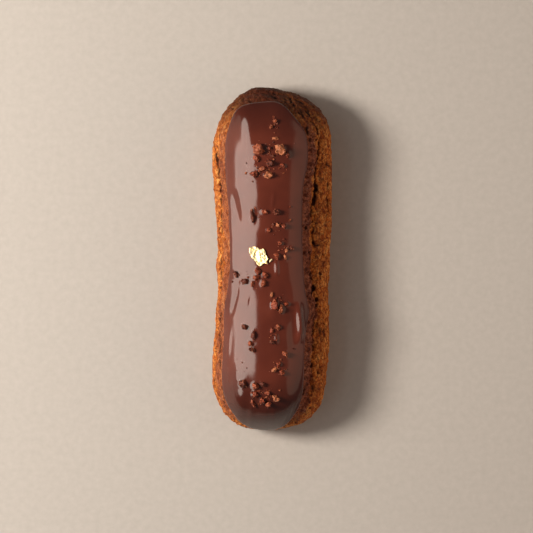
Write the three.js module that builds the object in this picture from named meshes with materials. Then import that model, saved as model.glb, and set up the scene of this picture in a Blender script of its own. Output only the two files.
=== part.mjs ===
// A chocolate eclair: a baked finger of choux pastry, a poured chocolate glaze over its top, roasted
// cocoa nibs scattered along the glaze, and a torn piece of gold leaf with one loose fleck.
// Millimetres. +Z is up and +Y runs along the eclair to its far end. The origin is on the table,
// under the middle of the eclair.

import * as THREE from "three";
import { ConvexGeometry } from "three/addons/geometries/ConvexGeometry.js";

// ---------------------------------------------------------------- driving dimensions

const HEIGHT = 33.5; // table to the crown of the glaze
const GLAZE_THICKNESS = 2.0; // at the crown
const GLAZE_EDGE = 1.7; // at the rounded edge
const GAP = 0.3; // clearance between touching pieces
const CROWN_X = -2.5; // the pastry leans, so its crown runs left of the middle
const CROWN_HALF_LENGTH = 42; // beyond this the crown rounds down to each end
const BASE_INSET = 4.6; // from the widest line in to the edge of the flat base
const FOLD_STEEPNESS = 0.15; // depth of the baked fold per millimetre of skirt outside it
const DEEPEST_FOLD = 0.8;
const END_EASE = 0.35; // how much flatter the dome starts towards the very ends
const CURVE_SAMPLES = 600;

// The grid that covers a top or a base: cells across, along the straight part, and along each end.
const CELLS_ACROSS = 12;
const CELLS_STRAIGHT = 24;
const CELLS_END = 6;

// ---------------------------------------------------------------- the three contours of the pastry

// The widest line, seen from above, anticlockwise from the far end. Each point is x, y, z.
const FOOTPRINT = contour([
  [-3.9, 67.4, 11], [-7.8, 66.8, 11], [-14.1, 62.3, 11], [-19.2, 56, 11], [-22.3, 48, 11],
  [-23.5, 40.4, 11], [-22.6, 31, 11], [-21.9, 20, 11], [-21, 10.6, 11], [-21.1, 3, 11],
  [-21.6, -5, 11], [-20.5, -11.5, 11], [-21.4, -19.2, 11], [-21.8, -27.8, 11], [-22.6, -38, 11],
  [-23.1, -44, 11], [-22.7, -50.6, 10.5], [-20.4, -56.8, 10], [-16.5, -62.9, 9.5], [-10.6, -65.6, 9.5],
  [-4, -66.3, 9.5], [3, -66.3, 9.5], [9, -65.3, 10], [16.9, -60, 10.5], [20, -53.7, 11],
  [20.8, -47.4, 11], [21.4, -38, 11], [22.1, -28, 11], [21.6, -16, 11], [22.1, -3.5, 11],
  [22.7, 10, 11], [23.2, 22, 11], [23.5, 31, 11], [22.9, 37.2, 11], [23.1, 44, 11],
  [22.3, 49.8, 11], [20.6, 55.5, 11], [18, 59.2, 11], [13.7, 62.5, 11], [9, 64.7, 11], [2, 66, 11],
]);

// The fold where the crust opened in the oven and the skirt below pushed out.
const FOLD = contour([
  [-3.9, 64.9, 18.5], [-8.6, 63.9, 18.5], [-13.4, 61.3, 18], [-17.8, 57, 18], [-20.6, 50, 17.5],
  [-21.6, 42, 17.5], [-20.2, 34, 18], [-19.8, 24, 18], [-19.8, 13, 18], [-19.7, 4, 18],
  [-20.1, -4, 18], [-19.3, -10.5, 18], [-20, -18, 18], [-20.4, -26, 17.5], [-21, -35, 17],
  [-21.6, -43.5, 16.5], [-21.4, -50.3, 15.5], [-19.4, -56.5, 14], [-15.9, -61.9, 13], [-10.6, -64.9, 12],
  [-4, -65.9, 11.5], [3, -65.6, 11.8], [7.5, -63.2, 13.5], [11, -59, 16], [13.2, -54, 18],
  [13.9, -49, 19], [15, -43, 19.5], [15.8, -37, 20], [15.8, -30, 20], [16.6, -23, 20],
  [17.1, -17, 20], [15.6, -12, 20.5], [15.3, -4, 20.5], [15.7, 8, 20.5], [15.4, 18, 20.5],
  [16.8, 28, 20.5], [17.9, 37, 20.5], [18.9, 43, 20.5], [18.3, 52, 20], [15.4, 57, 19.5],
  [11, 60.6, 19], [7.1, 62.5, 18.5], [2, 64, 18.5],
]);

// The line on the crust that the edge of the glaze runs along.
const RIM = contour([
  [-3.8, 60.4, 25], [-8.4, 59.9, 25], [-13, 58.1, 24.8], [-15.4, 53.2, 24.9], [-17, 46.8, 24.6],
  [-17.3, 38, 24.4], [-16.8, 28, 25.1], [-16, 20, 25.7], [-15.8, 10, 26.6], [-15.5, -2, 26.9],
  [-16.7, -12, 26.3], [-17.9, -20, 24.6], [-17.7, -29, 24.1], [-18.2, -38, 23.8], [-18.5, -45.7, 23.1],
  [-17.8, -52.6, 21.8], [-15.5, -57.5, 20.8], [-12.6, -61.8, 17.7], [-8.5, -64.5, 13.9], [-4, -65.4, 12.3],
  [2, -65.1, 13], [5.8, -62.5, 17.4], [8.9, -58.3, 21.6], [10.8, -53.5, 24], [11.5, -45.8, 25.8],
  [11.8, -36, 26.7], [12.8, -26, 26.4], [13.9, -20.5, 25.8], [12.4, -14, 26.6], [11.6, -6, 26.9],
  [11.2, 6, 27.1], [11.1, 20, 27.2], [11.5, 29, 27.2], [13.1, 36.5, 26.6], [13.4, 42.9, 26.7],
  [12.5, 49, 26.8], [10.4, 52.1, 26.5], [7.3, 56, 26.3], [4.4, 59.1, 25.6], [1, 60.7, 24.9],
]);

function contour(points) {
  const through = points.map(([x, y, z]) => new THREE.Vector3(x, y, z));
  return new THREE.CatmullRomCurve3(through, true, "centripetal").getPoints(CURVE_SAMPLES);
}

// ---------------------------------------------------------------- rays from the crown

// A ray starts on the crown line and points outwards, level. This is the ray through a place.
function rayTo(x, y) {
  const startY = THREE.MathUtils.clamp(y, -CROWN_HALF_LENGTH, CROWN_HALF_LENGTH);
  const angle = Math.atan2(y - startY, x - CROWN_X);
  return { startY, angle, distance: Math.hypot(x - CROWN_X, y - startY) };
}

// How far along a ray a contour lies, and how high it is there.
function meet(ray, line) {
  const cos = Math.cos(ray.angle);
  const sin = Math.sin(ray.angle);
  const along = (p) => (p.x - CROWN_X) * cos + (p.y - ray.startY) * sin;
  const across = (p) => (p.y - ray.startY) * cos - (p.x - CROWN_X) * sin;
  for (let i = 1; i < line.length; i++) {
    const before = across(line[i - 1]);
    const after = across(line[i]);
    if (before > 0 || after <= 0) continue;
    const share = before / (before - after);
    const reach = THREE.MathUtils.lerp(along(line[i - 1]), along(line[i]), share);
    if (reach > 0) return { reach, z: THREE.MathUtils.lerp(line[i - 1].z, line[i].z, share) };
  }
  throw new Error(`no contour on the ray from y ${ray.startY} at ${ray.angle}`);
}

function place(ray, reach, z) {
  return new THREE.Vector3(
    CROWN_X + reach * Math.cos(ray.angle),
    ray.startY + reach * Math.sin(ray.angle),
    z,
  );
}

// ---------------------------------------------------------------- the dome under the glaze

const CROWN_Z = HEIGHT - GLAZE_THICKNESS - GAP;

// The dome falls from the crown to the rim on a circular arc. A share of 0 is the crown, 1 the rim.
// Towards the ends the arc starts flatter, so that the ends blend into the straight part.
function dome(ray, share) {
  const rim = meet(ray, RIM);
  const fall = CROWN_Z - rim.z;
  const edgeAngle = 2 * Math.atan(fall / rim.reach);
  const radius = rim.reach / Math.sin(edgeAngle);
  const drop = (s) => {
    const eased = s ** (1 + END_EASE * Math.sin(ray.angle) ** 2);
    return radius - Math.sqrt(radius ** 2 - (eased * rim.reach) ** 2);
  };
  const step = 1e-3;
  const slope = (drop(share + step) - drop(Math.max(0, share - step))) /
    (rim.reach * (share + step - Math.max(0, share - step)));
  const tilt = Math.atan(share < step ? 0 : slope);
  return { reach: share * rim.reach, z: CROWN_Z - drop(share), tilt, rim };
}

// A point held off the dome, square to it.
function offDome(ray, share, height, outwards = 0) {
  const at = dome(ray, share);
  const reach = at.reach + height * Math.sin(at.tilt) + outwards * Math.cos(at.tilt);
  const z = at.z + height * Math.cos(at.tilt) - outwards * Math.sin(at.tilt);
  return { reach, z, tilt: at.tilt };
}

// ---------------------------------------------------------------- grids, rings and closed skins

// The nodes of a rounded grid over the eclair's plan, as rays with a share from 0 to 1. Its straight
// part is a plain grid, and each end bends a square grid into a half disc, so that no point is a pole.
function planGrid() {
  const rows = [];
  const add = (startY, towards, step) => {
    const row = [];
    for (let i = 0; i <= CELLS_ACROSS; i++) {
      const across = (2 * i) / CELLS_ACROSS - 1;
      const a = across * Math.sqrt(1 - step ** 2 / 2);
      const b = towards * step * Math.sqrt(1 - across ** 2 / 2);
      const share = Math.min(1, Math.hypot(a, b));
      row.push({ ray: { startY, angle: Math.atan2(b, a) }, share });
    }
    rows.push(row);
  };
  for (let j = CELLS_END; j > 0; j--) add(-CROWN_HALF_LENGTH, -1, j / CELLS_END);
  for (let j = 0; j <= CELLS_STRAIGHT; j++)
    add(THREE.MathUtils.lerp(-CROWN_HALF_LENGTH, CROWN_HALF_LENGTH, j / CELLS_STRAIGHT), 1, 0);
  for (let j = 1; j <= CELLS_END; j++) add(CROWN_HALF_LENGTH, 1, j / CELLS_END);
  return rows;
}

const GRID = planGrid();

// The nodes on the grid's border, anticlockwise from the near left corner.
function border(rows) {
  const last = rows.length - 1;
  const near = rows[0].slice(0, -1);
  const right = rows.slice(0, last).map((row) => row[CELLS_ACROSS]);
  const far = rows[last].slice(1).reverse();
  const left = rows.slice(1).map((row) => row[0]).reverse();
  return [...near, ...right, ...far, ...left];
}

// One quad as two triangles. The corners run anticlockwise, seen from outside.
function addQuad(triangles, a, b, c, d) {
  triangles.push(a, b, c, a, c, d);
}

function addGrid(triangles, points, facesUp) {
  for (let j = 1; j < points.length; j++)
    for (let i = 1; i < points[j].length; i++) {
      const [a, b, c, d] = [points[j - 1][i - 1], points[j - 1][i], points[j][i], points[j][i - 1]];
      if (facesUp) addQuad(triangles, a, b, c, d);
      else addQuad(triangles, a, d, c, b);
    }
}

// A wall between two rings, the first above the second, or inside it where they lie level.
function addWall(triangles, upper, lower) {
  upper.forEach((_, i) => {
    const next = (i + 1) % upper.length;
    addQuad(triangles, lower[i], lower[next], upper[next], upper[i]);
  });
}

function geometryOf(triangles) {
  const geometry = new THREE.BufferGeometry().setFromPoints(triangles);
  geometry.computeVertexNormals();
  return geometry;
}

// ---------------------------------------------------------------- the pastry

const SHOULDER_BULGE = 0.12; // as a share of the shoulder's width
const UPPER_SHOULDER = { share: 0.4, bulge: 1 };
const LOWER_SHOULDER = { share: 0.8, bulge: 0.7 };
const FOLD_UNDERCUT = 0.1; // as a share of the fold's depth
const LIP_REACH = 0.4; // as a share of the fold's depth
const LIP_DROP = 0.1;
const SKIRT_TURNS = [25, 50, 72, 90]; // degrees round the skirt, from the lip to the widest line
const HEEL_TURNS = [22, 45, 68]; // degrees round the heel, from the widest line to the base
const HEEL_FULLNESS = 0.8;

// The side of the crust on one ray, from the rim of the glaze down to the edge of the flat base.
function crustSide(ray) {
  const rim = meet(ray, RIM);
  const fold = meet(ray, FOLD);
  const foot = meet(ray, FOOTPRINT);
  const depth = Math.min(DEEPEST_FOLD, FOLD_STEEPNESS * (foot.reach - fold.reach));
  const shoulder = (share, bulge) => [
    THREE.MathUtils.lerp(rim.reach, fold.reach, share) + bulge,
    THREE.MathUtils.lerp(rim.z, fold.z, share) + bulge,
  ];
  const lip = [fold.reach + LIP_REACH * depth, fold.z - LIP_DROP * depth];
  const skirt = (turn) => [
    lip[0] + (foot.reach - lip[0]) * Math.sin(turn),
    foot.z + (lip[1] - foot.z) * Math.cos(turn),
  ];
  const base = foot.reach - BASE_INSET;
  const heel = (turn) => [
    base + BASE_INSET * Math.cos(turn) ** HEEL_FULLNESS,
    foot.z * (1 - Math.sin(turn)),
  ];
  const degrees = THREE.MathUtils.degToRad;
  const bulge = SHOULDER_BULGE * (fold.reach - rim.reach);
  return [
    shoulder(UPPER_SHOULDER.share, UPPER_SHOULDER.bulge * bulge),
    shoulder(LOWER_SHOULDER.share, LOWER_SHOULDER.bulge * bulge),
    [fold.reach - FOLD_UNDERCUT * depth, fold.z - depth],
    lip,
    ...SKIRT_TURNS.map((turn) => skirt(degrees(turn))),
    ...HEEL_TURNS.map((turn) => heel(degrees(turn))),
  ].map(([reach, z]) => place(ray, reach, z)).concat(place(ray, base, 0));
}

function pastryGeometry() {
  const triangles = [];
  const top = GRID.map((row) => row.map(({ ray, share }) => {
    const at = dome(ray, share);
    return place(ray, at.reach, at.z);
  }));
  const base = GRID.map((row) => row.map(({ ray, share }) =>
    place(ray, share * (meet(ray, FOOTPRINT).reach - BASE_INSET), 0)));
  addGrid(triangles, top, true);
  addGrid(triangles, base, false);
  const sides = border(GRID).map(({ ray }) => crustSide(ray));
  const rings = sides[0].map((_, k) => sides.map((side) => side[k]));
  rings.unshift(border(top));
  for (let k = 1; k < rings.length; k++) addWall(triangles, rings[k - 1], rings[k]);
  return geometryOf(triangles);
}

// ---------------------------------------------------------------- the glaze

const glazeThickness = (share) => THREE.MathUtils.lerp(GLAZE_THICKNESS, GLAZE_EDGE, share ** 4);

// The glaze stops half its edge short of the rim, and a half round nose covers the rest.
function glazeShare(ray, share) {
  const rim = dome(ray, 1);
  return share * (1 - ((GLAZE_EDGE / 2) * Math.cos(rim.tilt)) / rim.reach);
}

function glazePoint(ray, share, height, outwards = 0) {
  const at = offDome(ray, glazeShare(ray, share), height, outwards);
  return place(ray, at.reach, at.z);
}

function glazeGeometry() {
  const triangles = [];
  const surface = (height) => GRID.map((row) => row.map(({ ray, share }) =>
    glazePoint(ray, share, height(share))));
  const outer = surface((share) => GAP + glazeThickness(share));
  const inner = surface(() => GAP);
  addGrid(triangles, outer, true);
  addGrid(triangles, inner, false);
  const middle = GAP + GLAZE_EDGE / 2;
  const nose = [45, 90, 135].map((turn) => {
    const angle = THREE.MathUtils.degToRad(turn);
    return border(GRID).map(({ ray }) => glazePoint(
      ray, 1, middle + (GLAZE_EDGE / 2) * Math.cos(angle), (GLAZE_EDGE / 2) * Math.sin(angle)));
  });
  const rings = [border(outer), ...nose, border(inner)];
  for (let k = 1; k < rings.length; k++) addWall(triangles, rings[k - 1], rings[k]);
  return geometryOf(triangles);
}

const HALVINGS = 30; // of the search for a place on the glaze

// Where a place on the plan meets the top of the glaze, and which way the glaze faces there.
function glazeTop(x, y) {
  const ray = rayTo(x, y);
  let low = 0;
  let high = 1;
  for (let k = 0; k < HALVINGS; k++) {
    const share = (low + high) / 2;
    const at = offDome(ray, glazeShare(ray, share), GAP + glazeThickness(share));
    if (at.reach < ray.distance) low = share;
    else high = share;
  }
  const at = offDome(ray, glazeShare(ray, low), GAP + glazeThickness(low));
  const normal = new THREE.Vector3(
    Math.sin(at.tilt) * Math.cos(ray.angle),
    Math.sin(at.tilt) * Math.sin(ray.angle),
    Math.cos(at.tilt),
  );
  return { point: place(ray, at.reach, at.z), normal };
}

// A frame on the glaze: its own +Z is square to the surface, and the gap is kept under it.
function frameOnGlaze(x, y, turnDegrees) {
  const { point, normal } = glazeTop(x, y);
  const frame = new THREE.Group();
  frame.position.copy(point).addScaledVector(normal, GAP);
  frame.quaternion.setFromUnitVectors(new THREE.Vector3(0, 0, 1), normal);
  frame.rotateZ(THREE.MathUtils.degToRad(turnDegrees));
  return frame;
}

// ---------------------------------------------------------------- materials

const finish = (color, roughness, metalness = 0) =>
  new THREE.MeshStandardMaterial({ color, roughness, metalness });

const CHOUX = finish(0xa8682f, 0.75);
const CHOCOLATE = finish(0x59291c, 0.15);
const GOLD = finish(0xe9c25c, 0.25, 1);
const NIB = { roasted: finish(0x7d4027, 0.5), dark: finish(0x38190f, 0.45), pale: finish(0xb57b56, 0.5) };

// ---------------------------------------------------------------- the cocoa nibs

// Each nib: x, y, length, width, turn of its length from +X in degrees, tone, and its shape.
const NIBS = [
  // the far cluster
  [1.1, 53.5, 2.0, 1.6, 45, "roasted", "chunk"],
  [-0.4, 51.5, 1.8, 1.2, 80, "roasted", "chunk"],
  [1.3, 46.9, 2.6, 1.3, 5, "pale", "shard"],
  [-5.3, 42.8, 4.8, 3.9, -35, "roasted", "chunk"],
  [2.9, 42.6, 4.4, 3.5, -50, "pale", "chunk"],
  [5.9, 40.5, 2.4, 1.7, -70, "roasted", "chunk"],
  [-1.2, 43.0, 1.7, 1.5, 0, "roasted", "chunk"],
  [0.3, 40.2, 2.1, 1.3, 10, "dark", "shard"],
  [-6.2, 39.2, 3.0, 2.2, -50, "roasted", "chunk"],
  [-0.9, 37.2, 3.2, 2.6, 20, "dark", "chunk"],
  [-3.9, 35.2, 3.2, 1.5, 15, "roasted", "flake"],
  [-7.0, 33.0, 3.1, 2.7, 15, "roasted", "chunk"],
  [-1.5, 32.8, 3.5, 2.8, 10, "pale", "chunk"],
  [3.9, 36.3, 2.3, 1.4, -25, "roasted", "shard"],
  // the trail from the far cluster to the gold
  [-7.4, 16.7, 5.4, 1.9, -80, "dark", "shard"],
  [-2.8, 18.3, 2.6, 1.8, -20, "roasted", "chunk"],
  [1.6, 18.3, 2.6, 2.3, -15, "dark", "chunk"],
  [-1.3, 11.3, 1.9, 1.6, 80, "roasted", "chunk"],
  [2.2, 13.2, 1.6, 1.4, 60, "pale", "chunk"],
  [4.4, 12.9, 2.2, 1.8, -45, "roasted", "chunk"],
  [2.8, 6.1, 2.0, 1.4, -30, "roasted", "chunk"],
  [5.5, 3.4, 2.2, 1.3, 60, "pale", "shard"],
  [7.6, 4.1, 2.0, 1.7, 10, "dark", "chunk"],
  [5.0, 0.7, 2.2, 1.2, -70, "pale", "shard"],
  [1.5, 1.1, 2.9, 2.2, -60, "roasted", "chunk"],
  // the scatter below the gold
  [-5.5, -4.7, 2.8, 2.2, -60, "roasted", "chunk"],
  [-6.2, -7.4, 2.3, 1.9, 30, "roasted", "chunk"],
  [-2.8, -6.3, 2.6, 1.9, -45, "roasted", "chunk"],
  [-3.4, -9.5, 2.8, 2.1, 75, "roasted", "chunk"],
  [-13.8, -6.0, 3.0, 1.9, -50, "dark", "chunk"],
  [-10.4, -8.7, 3.1, 2.4, 0, "dark", "chunk"],
  [-7.6, -9.6, 2.4, 1.3, 70, "roasted", "chunk"],
  [-0.2, -13.8, 2.2, 1.2, 80, "pale", "shard"],
  [0.9, -17.9, 4.6, 2.8, -75, "pale", "chunk"],
  [3.4, -19.5, 3.4, 1.9, 75, "roasted", "chunk"],
  [5.4, -17.4, 2.1, 1.6, -10, "roasted", "chunk"],
  [-10.3, -26.5, 2.8, 2.3, -15, "dark", "chunk"],
  [2.2, -26.5, 2.5, 1.7, -70, "roasted", "chunk"],
  [-0.2, -27.7, 2.1, 1.3, 70, "roasted", "shard"],
  [-7.2, -29.6, 3.6, 1.9, 85, "dark", "chunk"],
  [-8.4, -32.7, 2.2, 1.7, 80, "roasted", "chunk"],
  [-7.8, -35.1, 2.9, 1.8, -20, "dark", "chunk"],
  [0.1, -32.3, 2.6, 1.5, -15, "dark", "flake"],
  // the near cluster
  [4.9, -36.9, 2.9, 1.8, -50, "roasted", "chunk"],
  [2.4, -40.9, 2.2, 1.6, 60, "roasted", "shard"],
  [0.8, -43.0, 2.4, 1.6, 30, "pale", "chunk"],
  [3.9, -44.2, 2.7, 1.8, -20, "roasted", "chunk"],
  [-11.0, -48.2, 3.8, 3.0, 20, "dark", "chunk"],
  [-6.4, -49.3, 2.8, 2.6, -20, "roasted", "chunk"],
  [-3.6, -48.6, 2.0, 1.9, 0, "dark", "chunk"],
  [-6.5, -52.4, 2.4, 2.2, 30, "roasted", "chunk"],
  [-2.0, -52.1, 2.2, 1.8, 40, "roasted", "chunk"],
  [1.2, -54.1, 3.4, 2.5, -35, "pale", "chunk"],
  [-7.4, -56.3, 3.6, 1.4, -65, "roasted", "shard"],
  [-3.8, -55.2, 3.0, 1.9, 75, "roasted", "chunk"],
  [-1.4, -56.3, 2.3, 2.0, 50, "roasted", "chunk"],
];

// Rings of corners from the foot of a nib to its top: height, then how far out, as shares of its size.
const NIB_RINGS = {
  chunk: [[0, 0.85], [0.4, 1.1], [1, 0.62]],
  shard: [[0, 0.85], [0.35, 1.1], [1, 0.4]],
  flake: [[0, 0.95], [0.5, 1.1], [1, 0.8]],
};
const NIB_HEIGHT = { chunk: 0.85, shard: 0.8, flake: 0.9 }; // as a share of the width
const RING_CORNERS = 5;
const CORNER_TURN = 0.28; // how far a corner strays round its ring, as a share of the step
const CORNER_STRAY = 0.12; // how far it strays in reach and in height

// A repeatable number from -1 to 1 for a nib's corner.
function jitter(seed) {
  const wave = Math.sin(seed * 12.9898 + 4.1414) * 43758.5453;
  return 2 * (wave - Math.floor(wave)) - 1;
}

// A broken bit of bean: the convex hull of its jittered corners, standing on z = 0.
function nibGeometry(index, length, width, kind) {
  const height = NIB_HEIGHT[kind] * width;
  const corners = NIB_RINGS[kind].flatMap(([up, out], ring) =>
    Array.from({ length: RING_CORNERS }, (_, k) => {
      const seed = 100 * index + 10 * ring + k;
      const angle = (2 * Math.PI * (k + 0.5 * ring + CORNER_TURN * jitter(seed))) / RING_CORNERS;
      const reach = out * (1 + CORNER_STRAY * jitter(seed + 0.37));
      const lift = ring === 0 ? 0 : CORNER_STRAY * jitter(seed + 0.71);
      return new THREE.Vector3(reach * Math.cos(angle), reach * Math.sin(angle), height * (up + lift));
    }));
  const geometry = new ConvexGeometry(corners);
  const box = new THREE.Box3().setFromPoints(corners);
  return geometry.scale(length / (box.max.x - box.min.x), width / (box.max.y - box.min.y), 1);
}

// ---------------------------------------------------------------- the gold leaf

const LEAF_THICKNESS = 0.3; // far thicker than beaten leaf, so that it is a solid
const LEAF_OUTLINE = [
  [-3.5, 1.4], [-3.5, 3.1], [-1.8, 3.7], [-0.1, 3.3], [0.7, 2.4], [2.0, 2.9], [2.8, 1.9], [3.1, 0.4],
  [3.9, -1.1], [3.5, -2.3], [3.9, -3.2], [2.2, -2.7], [1.5, -3.6], [0.7, -4.2], [-0.4, -3.4],
  [-0.9, -2.2], [-2.4, -0.8],
];
const FLECK_OUTLINE = [[-0.9, -0.45], [0.1, -0.35], [0.9, 0.3], [0.6, 0.6], [-0.3, 0.2]];

function leafGeometry(outline) {
  const shape = new THREE.Shape(outline.map(([x, y]) => new THREE.Vector2(x, y)));
  return new THREE.ExtrudeGeometry(shape, { depth: LEAF_THICKNESS, bevelEnabled: false });
}

// ---------------------------------------------------------------- the eclair

const eclair = new THREE.Group();

function addMesh(parent, name, geometry, material) {
  const mesh = new THREE.Mesh(geometry, material);
  mesh.name = name;
  parent.add(mesh);
}

addMesh(eclair, "choux_pastry", pastryGeometry(), CHOUX);
addMesh(eclair, "chocolate_glaze", glazeGeometry(), CHOCOLATE);

NIBS.forEach(([x, y, length, width, turn, tone, kind], index) => {
  const frame = frameOnGlaze(x, y, turn);
  const name = `cocoa_nib_${String(index + 1).padStart(2, "0")}`;
  addMesh(frame, name, nibGeometry(index, length, width, kind), NIB[tone]);
  eclair.add(frame);
});

const leaf = frameOnGlaze(-5.4, 1.2, 0);
addMesh(leaf, "gold_leaf", leafGeometry(LEAF_OUTLINE), GOLD);
const fleck = frameOnGlaze(-0.6, -0.6, 20);
addMesh(fleck, "gold_leaf_fleck", leafGeometry(FLECK_OUTLINE), GOLD);
eclair.add(leaf, fleck);

export default eclair;
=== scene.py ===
# %% [markdown]
# # A chocolate eclair with cocoa nibs and gold leaf
#
# An eclair is a finger of choux pastry. Choux is wet when it goes into the oven, so its crust
# sets first and then tears open along its sides as steam swells the middle. Afterwards its top is
# dipped into a warm chocolate glaze, which sets as smooth as glass, and the decoration is dropped
# on while the glaze is still soft.
#
# This lesson dresses a plain construction model of the eclair. The plain model gives every
# piece's size and place. Each step copies one plain solid, refines the copy, and gives it a
# finish built from what the real food is.

# %% Load the construction model
import math

import bpy
import numpy as np
from mathutils import Matrix, Vector
from mathutils.bvhtree import BVHTree
from mathutils.kdtree import KDTree


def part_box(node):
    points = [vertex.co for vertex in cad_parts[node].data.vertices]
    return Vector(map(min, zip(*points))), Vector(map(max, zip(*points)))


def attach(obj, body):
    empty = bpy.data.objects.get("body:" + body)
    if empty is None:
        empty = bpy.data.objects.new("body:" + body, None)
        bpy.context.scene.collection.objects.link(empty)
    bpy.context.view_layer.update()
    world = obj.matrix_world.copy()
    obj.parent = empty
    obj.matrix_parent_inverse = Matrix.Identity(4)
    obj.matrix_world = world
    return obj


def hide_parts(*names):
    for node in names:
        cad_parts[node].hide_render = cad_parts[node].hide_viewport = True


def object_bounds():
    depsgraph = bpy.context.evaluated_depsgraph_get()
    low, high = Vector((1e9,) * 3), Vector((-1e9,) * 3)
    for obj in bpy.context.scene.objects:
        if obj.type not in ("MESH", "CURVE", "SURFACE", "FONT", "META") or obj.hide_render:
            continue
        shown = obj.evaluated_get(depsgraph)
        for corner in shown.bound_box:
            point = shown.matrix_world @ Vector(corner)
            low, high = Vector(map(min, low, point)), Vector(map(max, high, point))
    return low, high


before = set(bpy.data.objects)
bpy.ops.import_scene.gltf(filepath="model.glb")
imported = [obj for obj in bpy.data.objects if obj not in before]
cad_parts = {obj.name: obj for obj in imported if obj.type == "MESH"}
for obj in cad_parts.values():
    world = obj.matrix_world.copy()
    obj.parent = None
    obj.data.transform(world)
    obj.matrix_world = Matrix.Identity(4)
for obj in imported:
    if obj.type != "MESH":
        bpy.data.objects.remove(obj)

MM = 0.001
cad_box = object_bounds()
print("construction box in mm:", [[round(v / MM, 2) for v in corner] for corner in cad_box])

# %% [markdown]
# ## Small tools for every step
#
# Operators act on whatever is selected, so one tool selects a single piece. Two more copy a plain
# solid with its corners welded, and apply a stack of modifiers. Sculpting in code means moving
# all the points of a mesh at once, so points and normals travel as arrays.


# %% Selecting, copying and applying
def select_only(piece):
    bpy.ops.object.select_all(action="DESELECT")
    piece.select_set(True)
    bpy.context.view_layer.objects.active = piece


WELD = 0.01  # corners closer than this are one corner
FLAT_ENOUGH = math.radians(60)  # two triangles that bend less than this become one four-sided face


def copy_of_node(node, name):
    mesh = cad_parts[node].data.copy()
    mesh.materials.clear()
    piece = bpy.data.objects.new(name, mesh)
    bpy.context.scene.collection.objects.link(piece)
    select_only(piece)
    bpy.ops.object.mode_set(mode="EDIT")
    bpy.ops.mesh.select_all(action="SELECT")
    bpy.ops.mesh.remove_doubles(threshold=WELD * MM)
    bpy.ops.mesh.tris_convert_to_quads(face_threshold=FLAT_ENOUGH, shape_threshold=FLAT_ENOUGH)
    bpy.ops.object.mode_set(mode="OBJECT")
    return piece


def add_modifier(piece, kind, **settings):
    modifier = piece.modifiers.new(kind.title(), kind)
    for key, value in settings.items():
        setattr(modifier, key, value)
    return modifier


def apply_modifiers(piece):
    select_only(piece)
    for name in [modifier.name for modifier in piece.modifiers]:
        bpy.ops.object.modifier_apply(modifier=name)


# %% Points and normals as arrays
def points_of(piece):
    values = np.empty(3 * len(piece.data.vertices))
    piece.data.vertices.foreach_get("co", values)
    return values.reshape(-1, 3) / MM


def normals_of(piece):
    values = np.empty(3 * len(piece.data.vertices), dtype=np.float32)
    piece.data.vertex_normals.foreach_get("vector", values)
    return values.reshape(-1, 3).astype(float)


def move_points(piece, points):
    piece.data.vertices.foreach_set("co", (points * MM).ravel())
    piece.data.update()


def smoothstep(low, high, values):
    share = np.clip((values - low) / (high - low), 0.0, 1.0)
    return share * share * (3.0 - 2.0 * share)


def shade_smooth(piece):
    select_only(piece)
    bpy.ops.object.shade_smooth()


def report(piece):
    low = points_of(piece).min(axis=0).round(2)
    high = points_of(piece).max(axis=0).round(2)
    print(f"{piece.name}: {len(piece.data.polygons)} faces, {low} to {high} mm")


# %% [markdown]
# ## Tools for finishes
#
# Colours are chosen as sRGB hex values, as a paint chart gives them, and Blender works in linear
# light, so one function converts them. Another adds a shader node. Each of its sockets is given a
# value or another node's output, and the rest are the node's own settings. Blender's names for
# these nodes all begin with ShaderNode, so the function puts that in front. Patterns are sized in
# millimetres, so a third function turns a size into the scale that a texture node takes.


# %% Colours and nodes
def linear(hex_colour):
    channels = [int(hex_colour[i : i + 2], 16) / 255 for i in (1, 3, 5)]
    bright = [c / 12.92 if c <= 0.04045 else ((c + 0.055) / 1.055) ** 2.4 for c in channels]
    return (*bright, 1.0)


def add_node(tree, kind, sockets, stops=(), **settings):
    """Add a node. Stops are for a colour ramp: a place from 0 to 1, and a hex colour or a grey."""
    made = tree.nodes.new("ShaderNode" + kind)
    for key, value in settings.items():
        setattr(made, key, value)
    for socket, value in sockets.items():
        if isinstance(value, bpy.types.NodeSocket):
            tree.links.new(value, made.inputs[socket])
        else:
            made.inputs[socket].default_value = linear(value) if isinstance(value, str) else value
    for index, (position, colour) in enumerate(stops):
        if index >= len(made.color_ramp.elements):
            made.color_ramp.elements.new(position)
        stop = made.color_ramp.elements[index]
        stop.position = position
        stop.color = linear(colour) if isinstance(colour, str) else (colour, colour, colour, 1.0)
    return made.outputs


def scale_of(size_mm):
    return 1 / (size_mm * MM)


# A Mix node has sockets for numbers, vectors and colours. These are its two colours and its result.
FIRST, SECOND, MIXED = 6, 7, 2


def new_material(name):
    material = bpy.data.materials.new(name)
    material.use_nodes = True
    tree = material.node_tree
    tree.nodes.clear()
    surface = add_node(tree, "BsdfPrincipled", {})["BSDF"]
    add_node(tree, "OutputMaterial", {"Surface": surface})
    place = add_node(tree, "TexCoord", {})["Object"]
    return material, tree, surface.node, place


# %% [markdown]
# ## The crust of the pastry
#
# Baked choux is a thin, dry crust over an airy crumb. It is never smooth. It has slow swellings
# some 10 mm across, fine wrinkles where the skin dried, burst bubbles that leave pits, and a long
# tear at the side where the skirt pushed out from under the top.
#
# A crust could be painted on with bump alone, but then its outline would stay clean and its tears
# would be flat. So it is sculpted. The plain solid is smoothed, turned into an even net of small
# faces by a voxel remesh, swollen and wrinkled by Displace modifiers, and then torn and pitted by
# moving its points.

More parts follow.
